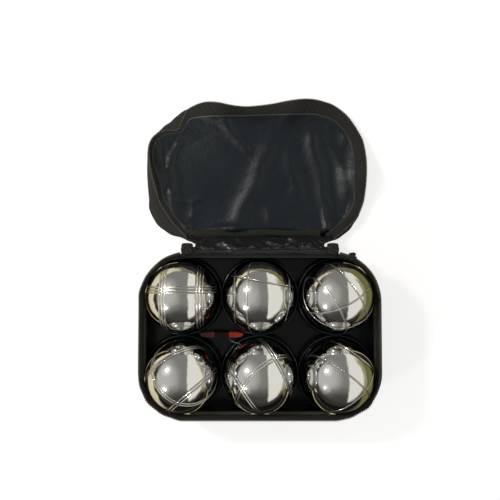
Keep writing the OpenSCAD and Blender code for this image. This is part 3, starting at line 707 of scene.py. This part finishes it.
lid_cord = [(17.4 + 1.1 * math.sin(a), -0.9 - 1.1 * math.cos(a), 0.08, 0.92, 0) for a in turns]
pts, _, run, _ = lid_band(lid_cord, 420)
close_band("lid_edge_piping", pts, run, "piping", ["lid_piping"], piping_cloth)


# Lining: thin cloth with a coated, faintly shiny face, sewn in only at the edge. It hangs from its
# seam and lies loose on the lid's floor, so it is all folds and creases.
def coated_cloth(name, code, rough, crease, shine=0.3):
    """Coated face: satin, creased by noise 9 mm and 2 mm across, the broad one folded to ridges."""
    p = Paint(name)
    spot, base = p.place(), linear(code)
    ridge = p.maths("ABSOLUTE", p.maths("SUBTRACT", p.noise(spot, 110.0, 3.0, 0.6), 0.5))
    relief = p.maths("MULTIPLY_ADD", p.noise(spot, 480.0, 3.0), 0.3, ridge)
    tone = p.noise(spot, 30.0, 5.0)
    gloss = p.ramp(tone, (0.0, 1.0), (rough - 0.06, rough + 0.1))
    colour = p.blend(tone, tint(base, 0.75), tint(base, 1.3))
    return p.look(colour, gloss, p.bump(relief, 0.7, crease), {"Specular IOR Level": shine})


def fold(x, y, x0, y0, x1, y1, width, height):
    """Ridge along a segment: height * exp(-(d / width)^2) for the distance d from its line, dying
    away past its ends."""
    length = math.hypot(x1 - x0, y1 - y0)
    ux, uy = (x1 - x0) / length, (y1 - y0) / length
    along = (x - x0) * ux + (y - y0) * uy
    d = (y - y0) * ux - (x - x0) * uy + 1.2 * np.sin(along / 9.0)
    past = np.maximum(0, np.maximum(-along, along - length)) / (1.5 * width)
    return height * np.exp(-((d / width) ** 2) - past**2)


def creases(x, y, seed, count, low, high, span):
    """Short sharp folds at random places and headings: height * exp(-|d| / width)."""
    rng = np.random.default_rng(seed)
    total = np.zeros_like(x)
    for _ in range(count):
        cx, cy = rng.uniform(*span[:2]), rng.uniform(*span[2:])
        turn, half = rng.uniform(0, math.pi), rng.uniform(low, high)
        ux, uy = math.cos(turn), math.sin(turn)
        along, d = (x - cx) * ux + (y - cy) * uy, (y - cy) * ux - (x - cx) * uy
        width = 0.12 * half + 0.6
        total += rng.uniform(-1, 1) * width * 0.22 * np.exp(-np.abs(d) / width - (along / half) ** 4)
    return total


# Long folds: from and to in mm, half width, height
long_folds = [
    (9.5, 197.1, -26.4, 111.3, 9.5, 2.9), (-37.3, 226.8, -15.5, 197.1, 4.5, 1.8),
    (-89.6, 203.7, -98.3, 179.5, 3.2, 2.2), (-99.4, 208.1, -95.0, 147.6, 5.0, 1.4),
    (-95.0, 147.6, -80.9, 111.3, 4.2, 2.4), (-64.6, 143.2, -86.3, 131.1, 3.2, 1.6),
    (33.0, 190.0, 42.0, 150.0, 7.0, 1.2), (58.0, 208.0, 75.0, 128.0, 7.5, 2.4),
    (74.5, 132.0, 74.5, 106.0, 3.4, 2.2), (78.0, 217.0, 95.0, 150.0, 6.0, 1.6),
    (91.2, 212.0, 91.2, 203.0, 2.6, 1.8),
]
# Rings from the sewn edge to the middle, closer by the edge
lining_rings = 110
edge, _, _, share = lid_band([(15.4, 1.6, 0, 1, 0)], 420, whole=True)
edge = edge[:, 0] * np.array([1.0, -1.0, 1.0])
middle = np.array([0.0, 165.0])
q = 1 - np.linspace(0, 1, lining_rings) ** 1.25
reach = edge[:, :2] - middle
pts = np.zeros((lining_rings, 420, 3))
pts[:, :, :2] = middle + q[:, None, None] * reach
away = (1 - q)[:, None] * np.linalg.norm(reach, axis=1)
x, y = pts[:, :, 0], pts[:, :, 1]
turn = 2 * math.pi * share
drop = 30.0 + 5.0 * np.sin(5 * turn + 1) + 3.0 * np.sin(11 * turn)
sink = (1 - np.clip(away / drop, 0, 1)) ** 2.8
near_hinge = np.clip((112.0 - y) / 8.0, 0, 1) * np.clip((84.0 - np.abs(x)) / 8.0, 0, 1)
rise = 12.0 * sink * (1 - near_hinge) * left_of(share)
gathers = np.sin(61 * turn + 2 * np.sin(3 * turn)) * np.exp(-away / 16.0) * (1 - np.exp(-away / 2.0))
loose = sum(fold(x, y, *f) for f in long_folds) + 0.6 * creases(x, y, 5, 60, 8.0, 34.0, (-105, 105, 98, 232))
loose += 0.8 * np.sin(x / 17.0 + 0.6) * np.sin(y / 21.0 + 1.1)
free = 1 - np.exp(-away / 3.0)
z = 3.6 + rise + 0.15 * gathers + free * (loose + 0.6)
# over the room that the boules leave it is pressed flat
top = room_over(x, y)
pts[:, :, 2] = np.maximum(np.where(z > top, top - 0.05 * np.tanh(z - top), z), 2.9)
faces = grid_faces(lining_rings, 420, round_cols=True)
coated = coated_cloth("coated_lining_cloth", "#0f171d", 0.4, 0.7)
uv = pts[:, :, :2]
lining_cloth = piece("lid_lining_cloth", pts, uv, faces, "lid", "lining_film", ["lid_lining"], coated)

# The seam's bead: the lining's edge rolled over a cord, drawn lighter than the lining as a painted
# highlight.
bead = [(16.9 + 0.9 * math.sin(a), 1.6 - 0.9 * math.cos(a), 0, 1, 0) for a in turns]
pts, _, run, _ = lid_band(bead, 420)
bead_cloth = coated_cloth("coated_bead_cloth", "#31363a", 0.4, 0.4)
close_band("lid_seam_bead", pts, run, "lining_film", [], bead_cloth)

# The lining's tape: a flat woven band that covers the seam along the hinge.
x, r = np.meshgrid(np.linspace(-83.5, 66.0, 260), np.linspace(0, 1, 14))
y = 101.6 + 8.6 * r + 0.7 * np.sin(x / 23.0 + 1.0) + 0.3 * np.sin(x / 7.0)
z = 7.2 + 0.9 * np.sin(np.pi * r) ** 0.5 + 0.5 * np.sin(x / 15.0)
pts = np.stack([x, y, z], -1)
both = np.concatenate([pts, (pts - [0, 0, 0.9])[::-1]], 0)
faces = grid_faces(28, 260, round_rows=True)
seam_tape = ribbed_tape("woven_seam_band", "#1b1b18")
piece("lid_seam_band", both, both[:, :, :2], faces, "lid", "zip_tape", [], seam_tape)


# Neck: the same coated cloth from the hinge's top down to the lid's floor, longer than the way
# it has to go, so it lies in sharp creases.
def drawn_in(height, share):
    """Width left at a height: between 21 and 30 mm up the cloth is drawn in by a share of its
    width, to pass between the folded zip ends."""
    t = np.clip((height - 21.0) / 9.0, 0, 1)
    return 1 - share * t * t * (3 - 2 * t)


cols = np.linspace(-78.0, 78.0, 300)
x, r = np.meshgrid(cols, np.linspace(0, 1, 70))
y = 84.6 + 18.0 * r
z = 39.4 - 33.5 * r**1.5
x = x * drawn_in(z, 0.135)
fall = np.sin(np.pi * r) ** 0.7
crumple = creases(x, y * 1.3, 11, 170, 4.0, 15.0, (-84, 84, 105, 138))
swell = 1.8 * np.sin(x / 9.0 + 2 * np.sin(x / 21.0)) + 1.1 * np.sin(x / 4.3 + 7 * r)
# sharp folds: across and share down at both ends, half width, height
stiff_folds = [
    (-66.0, 0.95, -70.5, 0.45, 1.5, 3.2), (-53.5, 0.05, -48.5, 0.35, 2.2, 3.4),
    (-24.0, 0.9, -29.5, 0.5, 1.6, 2.8), (-21.5, 0.1, -9.0, 0.42, 2.4, 3.6),
    (2.0, 0.1, 26.0, 0.45, 1.8, 2.2), (26.0, 0.6, 40.0, 0.2, 2.0, 3.2),
    (31.0, 0.75, 47.0, 0.45, 1.6, 2.6), (58.0, 0.7, 66.0, 0.3, 1.6, 2.4),
]
z = z + fall * (8.0 * crumple + 1.3 * swell)
z = z + fall * sum(fold(x, 18.0 * r, a, 18.0 * b, c, 18.0 * d, *f) for a, b, c, d, *f in stiff_folds)
y = y + fall * (0.9 * np.sin(x / 6.1 + 3 * r) + 1.2 * crumple)
# no crest stands higher than the hinge line, so that the lid can close over it
z = -1.5 * np.log(np.exp(-z / 1.5) + np.exp(-41.3 / 1.5))
pts = np.stack([x, y, np.maximum(z, 4.4)], -1)
uv = np.stack([x, 40 * r], -1)
# Painted light: the neck's cloth is drawn lighter than the lining it is cut from.
crumpled = coated_cloth("crumpled_coated_cloth", "#1a1d1e", 0.24, 2.0, 0.6)
faces = grid_faces(70, 300)
neck_cloth = piece("neck_lining_cloth", pts, uv, faces, "lid", "lining_film", ["spine_lining"], crumpled)

# Its sewn edge on the base: a strip that laps over the cut-down back wall to the tray's ledge.
x, r = np.meshgrid(cols, np.linspace(0, 1, 26))
y = 81.2 + 5.4 * r + 0.5 * np.sin(x / 8.0) * np.sin(np.pi * r)
z = 40.5 + 1.3 * np.sin(np.pi * r) ** 0.6 - 1.6 * r**3
crumple = 1.6 * creases(x, y * 1.5, 23, 90, 3.0, 10.0, (-80, 80, 118, 132))
z = z + np.sin(np.pi * r) * (crumple + 0.4 * np.sin(x / 5.0))
pts = np.stack([x, y, np.maximum(z, 40.4 - 2.0 * r)], -1)
uv = np.stack([x, 8 * r], -1)
piece("neck_lining_edge", pts, uv, grid_faces(26, 300), "base", "lining_film", [], crumpled)


# Spine: the lid's own wall along the hinge, and the cloth strip that joins it to the base.
def cloth_slab(name, route, thick, wave, body, nodes, draw=0.0):
    """Cloth of one thickness that follows a route of (y, z) points across the hinge's width; its
    face swells by up to wave along it."""
    cols = np.linspace(-hinge_half, hinge_half, 120)
    route = np.array(route, float)
    step = np.gradient(route, axis=0)
    side = np.c_[step[:, 1], -step[:, 0]] / np.linalg.norm(step, axis=1)[:, None]
    loop = np.vstack([route + 0.5 * thick * side, (route - 0.5 * thick * side)[::-1]])
    push = np.vstack([side, side[::-1]])
    ripple = wave * (np.sin(cols / 11.0) + 0.6 * np.sin(cols / 4.7 + 1))
    m = len(loop)
    pts = np.zeros((m, 120, 3))
    pts[:, :, 0] = cols * drawn_in(loop[:, 1:2], draw)
    pts[:, :, 1:] = loop[:, None] + ripple[:, None] * push[:, None]
    faces = grid_faces(m, 120, round_rows=True, turn=True).tolist()
    faces += [[k * 120 for k in range(m)], [k * 120 + 119 for k in range(m)][::-1]]
    uv = pairs(cols, run_of(loop)[:, None])
    return piece(name, pts, uv, faces, body, "hinge_fabric", nodes, case_cloth)


drop = [(85.4, z) for z in np.linspace(39.8, 4.2, 16)]
drop += [(85.9, 3.1), (87.0, 2.6), (88.6, 2.5), (90.8, 2.5)]
spine_cloth = cloth_slab("spine_wall_cloth", drop, 1.4, 0.12, "lid", ["spine_wall"], 0.11)
strip = [(83.5, z) for z in np.linspace(33.6, 47.4, 9)]
strip_cloth = cloth_slab("hinge_strip_cloth", strip, 0.8, 0.05, "base", ["hinge_strip"])

# Zip ends: the tape's last centimetre folded over and stitched down at each end of the hinge. Each
# is a soft pad, a rounded block x = a sgn(cos u)|cos u|^0.6 and so on, pinched in the middle.
u = np.linspace(0, 2 * np.pi, 40, endpoint=False)
v = np.linspace(-0.5, 0.5, 22)[:, None] * np.pi
flat = power(np.cos(v), 0.45)
px, py = 6.4 * flat * power(np.cos(u), 0.6), 6.0 * flat * power(np.sin(u), 0.6)
pz = 3.8 * power(np.sin(v), 0.6) * np.ones(40)
px = px * (1 - 0.1 * np.cos(py / 6.0 * np.pi / 2) ** 2) + 0.35 * np.sin(pz * 1.1 + py)
dent = 0.7 * np.sin(py * 1.1 + 0.5 * px) + 0.5 * np.sin(px * 1.3 - py)
uv = pairs(py, pz + 0.5 * px)
for side, hand in ((-1, "left"), (1, "right")):
    pts = np.stack([side * (73.8 + px), 86.6 + py, 46.8 + pz - 0.3 * py + dent], -1)
    faces = grid_faces(22, 40, round_cols=True, turn=side < 0)
    piece("zip_end_fold_" + hand, pts, uv, faces, "base", "zip_tape", ["zip_end_" + hand], tape_cloth)


# Zip slider and pull: cast zinc, painted black, the paint thin over the edges.
def painted_zinc():
    """Gloss paint with an orange-peel of 1 mm and a few chips down to the metal."""
    p = Paint("painted_zinc_slider")
    spot = p.place()
    bare = p.ramp(p.noise(spot, 420.0, 5.0), (0.68, 0.72))
    colour = p.blend(bare, linear("#17171a"), linear("#8d8b86"))
    return p.look(colour, 0.3, p.bump(p.noise(spot, 900.0), 0.3, 0.1), {"Metallic": bare})


slider_paint = painted_zinc()
finish_node("zip_slider", slider_paint)
finish_node("zip_pull", slider_paint)


# Measuring cord
# Twisted cotton cord wound on a red moulded winder that stands on its edge in the left pocket;
# the loose end lies over the front middle cup's rim.
def clear_red():
    """Moulded polystyrene, coloured through and slightly clear, with fine scratches."""
    p = Paint("moulded_red_polystyrene")
    spot, base = p.place(), linear("#d8301c")
    scratch = p.noise(spot, 800.0, 3.0, 1.5)
    # The left end stands deep in the cups' shade, which the softer light here doesn't give.
    shade = p.ramp(p.parts(spot)["X"], (-54 * mm, -22 * mm), (0.12, 1.0))
    colour = p.scaled(p.blend(p.noise(spot, 90.0), tint(base, 0.7), base), shade)
    gloss = p.ramp(scratch, (0.0, 1.0), (0.12, 0.4))
    depth = {"Subsurface Weight": 0.25, "Subsurface Scale": 0.002}
    return p.look(colour, gloss, p.bump(scratch, 0.2, 0.1), depth)


finish_node("cord_winder", clear_red())


def twisted_cotton(name, code, twist):
    """Three-strand cord: slanted waves on its UV, each twist mm along it, with painted shade in the grooves.
    """
    p = Paint(name)
    base = linear(code)
    strand = p.wave(p.place("UV"), 2 * band / twist, "DIAGONAL")
    mixed = p.maths("MULTIPLY", strand, p.noise(p.place(), 1500.0, 3.0))
    return p.look(p.blend(mixed, tint(base, 0.4), tint(base, 1.5)), 0.85, p.bump(strand, 0.9, 0.25))


def tube(path, radius, sides):
    """Points, UV and faces of a tube: rings square to the path, turned on from one to the next by
    the least turn, each w' = w - (w.t)t made unit."""
    step = np.gradient(path, axis=0)
    t = step / np.linalg.norm(step, axis=1)[:, None]
    w = np.zeros_like(path)
    w[0] = np.cross(t[0], [0.1, 0.2, 1.0])
    for k in range(1, len(path)):
        w[k] = w[k - 1] - (w[k - 1] @ t[k]) * t[k]
        w[k] /= np.linalg.norm(w[k])
    w[0] /= np.linalg.norm(w[0])
    a = np.linspace(0, 2 * np.pi, sides, endpoint=False)
    ring = np.cos(a)[:, None] * w[:, None] + np.sin(a)[:, None] * np.cross(t, w)[:, None]
    uv = pairs(run_of(path)[:, None], radius * a)
    return path[:, None] + radius * ring, uv, grid_faces(len(path), sides, round_cols=True)


def wound(turns, step, half_y, half_z):
    """Flattened turns round the winder's neck: a superellipse |y/a|^m + |z/b|^n that moves along
    by one step each turn, with a little unevenness from hand winding."""
    a = np.linspace(0, 2 * np.pi * turns, 40 * turns + 1)
    sway = 0.12 * np.sin(a * 0.37 + 1) + 0.08 * np.sin(a * 0.91)
    x = step * a / (2 * np.pi) - 0.5 * turns * step + sway
    return np.stack([x, -half_y * power(np.cos(a), 0.4), half_z * power(np.sin(a), 0.55)], -1)


def smooth_through(values, shares):
    """Catmull-Rom curve through values at even steps, its end points doubled."""
    v = np.vstack([2 * values[0] - values[1], values, 2 * values[-1] - values[-2]])
    t = shares * (len(values) - 1)
    i = np.minimum(t.astype(int), len(values) - 2)
    return catmull(v[i], v[i + 1], v[i + 2], v[i + 3], (t - i)[:, None])


winder_mid = np.array([-39.8, -2.5, 16.4])
cord_r = 0.55
inner, outer = wound(9, 1.5, 1.7, 5.0), wound(8, 1.7, 2.25, 5.75)
loose_knots = [
    [0, 0, 0], [0.2, -0.9, 2.1], [1.2, -2.2, 5.4], [3.0, -3.6, 9.2], [5.2, -4.6, 11.4],
    [8.2, -5.5, 11.7], [11.0, -6.3, 11.2], [12.6, -7.4, 10.4],
]
loose_end = outer[-1] + smooth_through(np.array(loose_knots), np.linspace(0, 1, 90))[1:]
cotton = twisted_cotton("twisted_cotton_cord", "#3a332c", 1.8)
# Painted light: the loose end is the same cord drawn paler than its wound turns, as if it lay in the light.
pale_cotton = twisted_cotton("twisted_cotton_cord_end", "#8a7f72", 1.8)
turned = tube(winder_mid + inner, cord_r, 8)
piece("cord_inner_turns", *turned, "winder", "measuring_cord", ["cord_core"], cotton)
turned = tube(winder_mid + np.vstack([outer, loose_end]), cord_r, 10)
made = piece("cord_outer_turns", *turned, "winder", "measuring_cord", ["cord_winding"], cotton)
made.data.materials.append(pale_cotton)
pale = np.zeros(len(turned[2]), np.int32)
pale[(len(outer) - 1) * 10 :] = 1
made.data.polygons.foreach_set("material_index", pale)


# Room
# White floor that keeps a faint shadow; overhead a wide pale ceiling, grey to the left and cream to
# the right, and a darker band of wall, as the boules show it; two small lamps to the upper left.
def room_colour(p):
    """World by direction (x, y, z): cream where x - 0.18 z > 0.26, else grey with a glow round the
    lamps; low down it is dark to the left and front, olive to the right."""
    spot = p.place("Generated")
    parts = p.parts(spot)
    x, y, z = (parts[key] for key in "XYZ")
    right = p.ramp(p.maths("MULTIPLY_ADD", z, -0.18, x), (0.23, 0.29))
    glow = [
        p.ramp(p.dot(spot, aim), (low, 1.0), smooth=True)
        for aim, low in (((-0.66, 0.39, 0.64), 0.9), ((-0.69, -0.46, 0.56), 0.93))
    ]
    broad = p.ramp(p.dot(spot, (-0.78, 0.05, 0.62)), (0.45, 1.0), (0.0, 0.6), smooth=True)
    glow = p.maths("MAXIMUM", p.maths("ADD", *glow), broad)
    grey = p.blend(glow, (0.27, 0.26, 0.24, 1), (0.85, 0.84, 0.81, 1))
    grey = p.scaled(grey, p.ramp(y, (-0.9, -0.2), (0.25, 1.0), smooth=True))
    colour = p.blend(right, grey, (0.97, 0.95, 0.88, 1))
    low = p.ramp(z, (0.16, 0.3), (1.0, 0.0))
    left, front = p.ramp(x, (-0.75, -0.5), (1.0, 0.0)), p.ramp(y, (-0.65, -0.4), (1.0, 0.0))
    dark = p.maths("MULTIPLY", p.maths("MAXIMUM", left, front), low)
    olive = p.maths("MULTIPLY", p.ramp(x, (0.6, 0.8)), low)
    return p.blend(dark, p.blend(olive, colour, (0.36, 0.36, 0.2, 1)), (0.045, 0.04, 0.035, 1))


world = bpy.data.worlds.new("room")
bpy.context.scene.world = world
world.use_nodes = True
tree = world.node_tree
tree.links.new(room_colour(Nodes(tree)), tree.nodes["Background"].inputs["Color"])


def lamp(name, spot, size, watts):
    """A square lamp at a place in metres, aimed at the boules."""
    data = bpy.data.lights.new(name, "AREA")
    data.size, data.energy, data.color = size, watts, (1.0, 0.97, 0.92)
    made = linked(name, data)
    made.location = spot
    x, y, z = np.array([0.0, 0.03, 0.03]) - np.array(spot)
    made.rotation_euler = (math.atan2(math.hypot(x, y), -z), 0, math.atan2(y, x) - math.pi / 2)


lamp("ceiling_lamp_left", (-0.98, 0.58, 1.0), 0.16, 10.0)
lamp("ceiling_lamp_near", (-1.15, -0.75, 0.95), 0.14, 6.0)


def white_floor():
    """Matt paint, lifted to white where the camera sees it, its shadows kept. Polished faces see a
    painted reflection of a table instead: cream to the left, olive to the right, dark to the front."""
    p = Paint("painted_floor")
    parts = p.parts(p.place())
    x, y = parts["X"], parts["Y"]
    # Painted reflection: a table that only glossy rays see, cream, olive and, to the front, a dark wedge of
    # painted shade.
    wedge = p.maths("MULTIPLY_ADD", p.maths("ABSOLUTE", x), 0.75, y)
    table = p.blend(p.ramp(x, (-0.16, -0.10), (1.0, 0.0)), linear("#8d877b"), linear("#e6dcc2"))
    table = p.blend(p.ramp(x, (0.12, 0.2)), table, linear("#8a8758"))
    table = p.blend(p.ramp(wedge, (-0.09, -0.03), (1.0, 0.0)), table, linear("#1c1a17"))
    path = p.add("LightPath", out=None)
    seen = p.blend(path["Is Glossy Ray"], linear("#e9e8e4"), table)
    paint = p.blend(path["Is Camera Ray"], seen, linear("#a9a9a9"))
    lifted = {"Emission Color": (1.0, 1.0, 1.0, 1.0), "Specular IOR Level": 0.0}
    lifted["Emission Strength"] = p.maths("MULTIPLY", path["Is Camera Ray"], 0.72)
    return p.look(paint, 0.9, None, lifted)


floor_mesh = bpy.data.meshes.new("floor")
floor_mesh.from_pydata([(-3, -3, 0), (3, -3, 0), (3, 3, 0), (-3, 3, 0)], [], [(0, 1, 2, 3)])
floor_mesh.materials.append(white_floor())
linked("floor", floor_mesh)

bpy.context.scene.view_settings.view_transform = "Standard"
